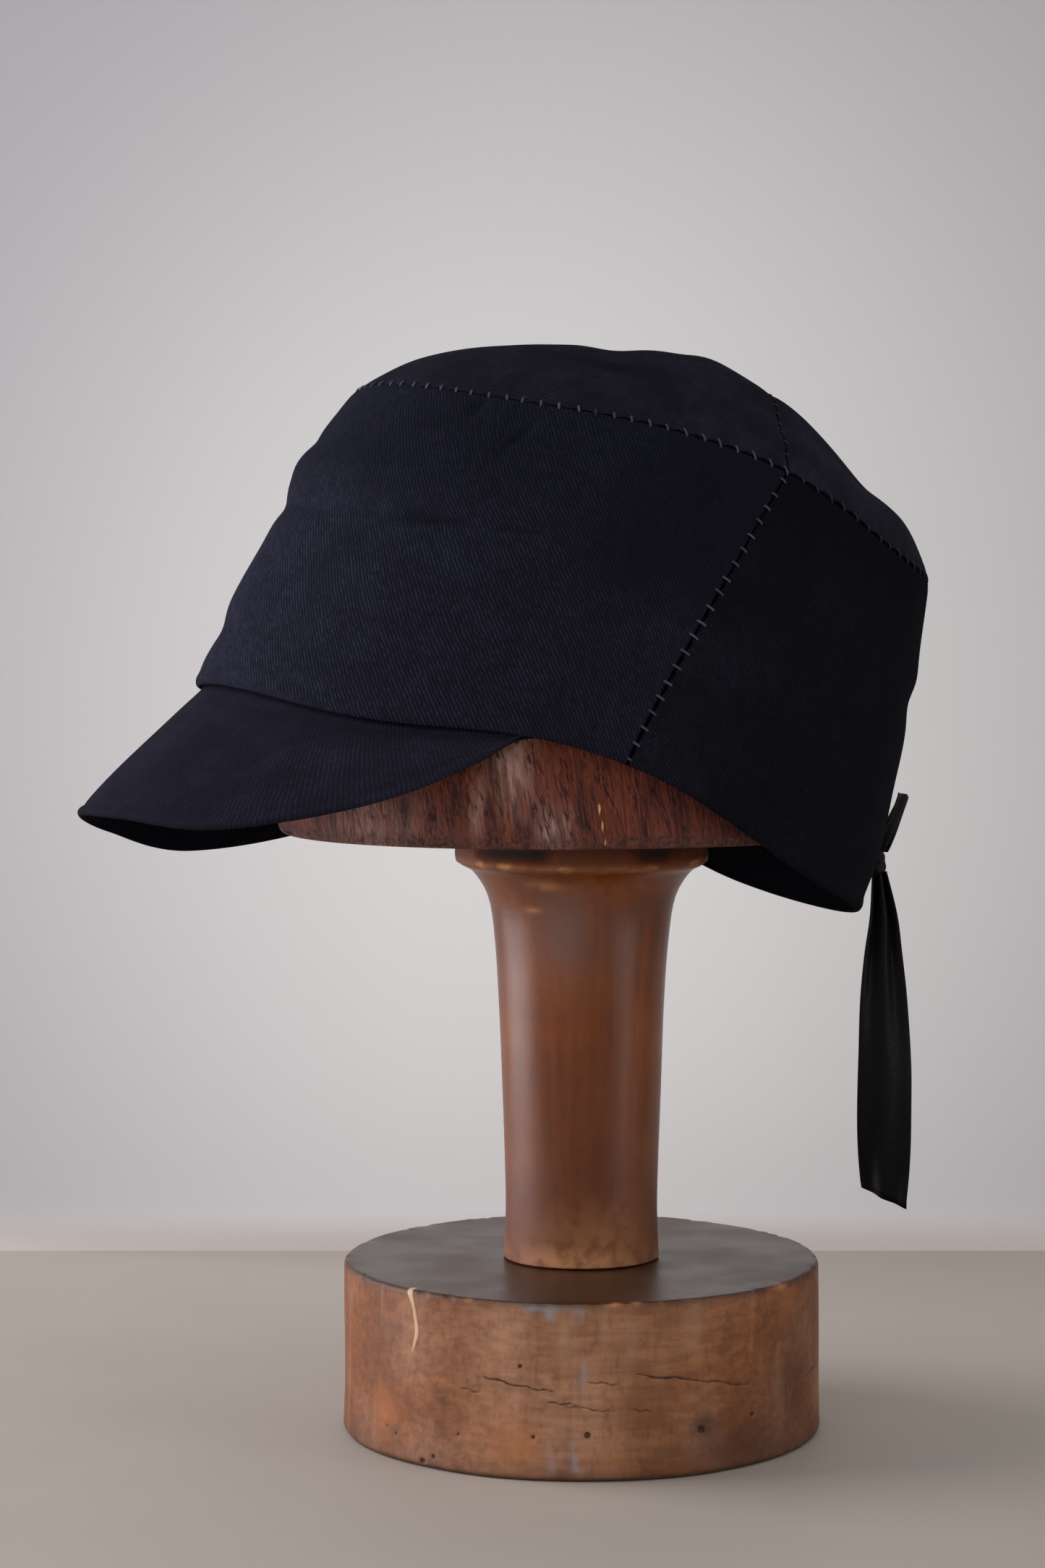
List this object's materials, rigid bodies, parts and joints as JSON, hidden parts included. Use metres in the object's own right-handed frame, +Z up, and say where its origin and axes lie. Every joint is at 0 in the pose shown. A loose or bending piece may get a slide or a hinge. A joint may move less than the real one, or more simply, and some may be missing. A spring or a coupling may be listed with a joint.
{
  "type": "field cap on a wooden hat stand",
  "caption": "Soft black twill field cap with a panelled crown, short steep peak and ribbon tie at the back, tilted back on a turned wooden hat stand.",
  "frame": {"origin": "centre of the round base's flat underside, where the stand rests on a table", "axes": "+Z up along the stand's column; the cap's peak points along -Y and the wearer's left is +X"},
  "size_m": [0.1682, 0.2506, 0.3187],
  "materials": {
    "twill_front": "blue-black cotton twill, steep diagonal weave",
    "twill_back": "black cotton twill, diagonal weave",
    "twill_peak": "blue-black cotton twill, upright weave",
    "ribbon": "black woven ribbon with a faint sheen",
    "thread": "grey-blue cotton sewing thread",
    "block_wood": "bare reddish-brown wood with dark streaks",
    "column_wood": "old brown varnish, softly glossy",
    "base_wood": "worn brown wood with cracks and nail holes"
  },
  "bodies": {
    "root": {"front_panel": "twill_front", "back_panel": "twill_back", "top_front": "twill_front", "top_back": "twill_back", "peak": "twill_peak", "tie_knot": "ribbon", "tie_long_end": "ribbon", "tie_short_end": "ribbon", "stand_block": "block_wood", "stand_column": "column_wood", "stand_base": "base_wood"}
  },
  "joints": []
}
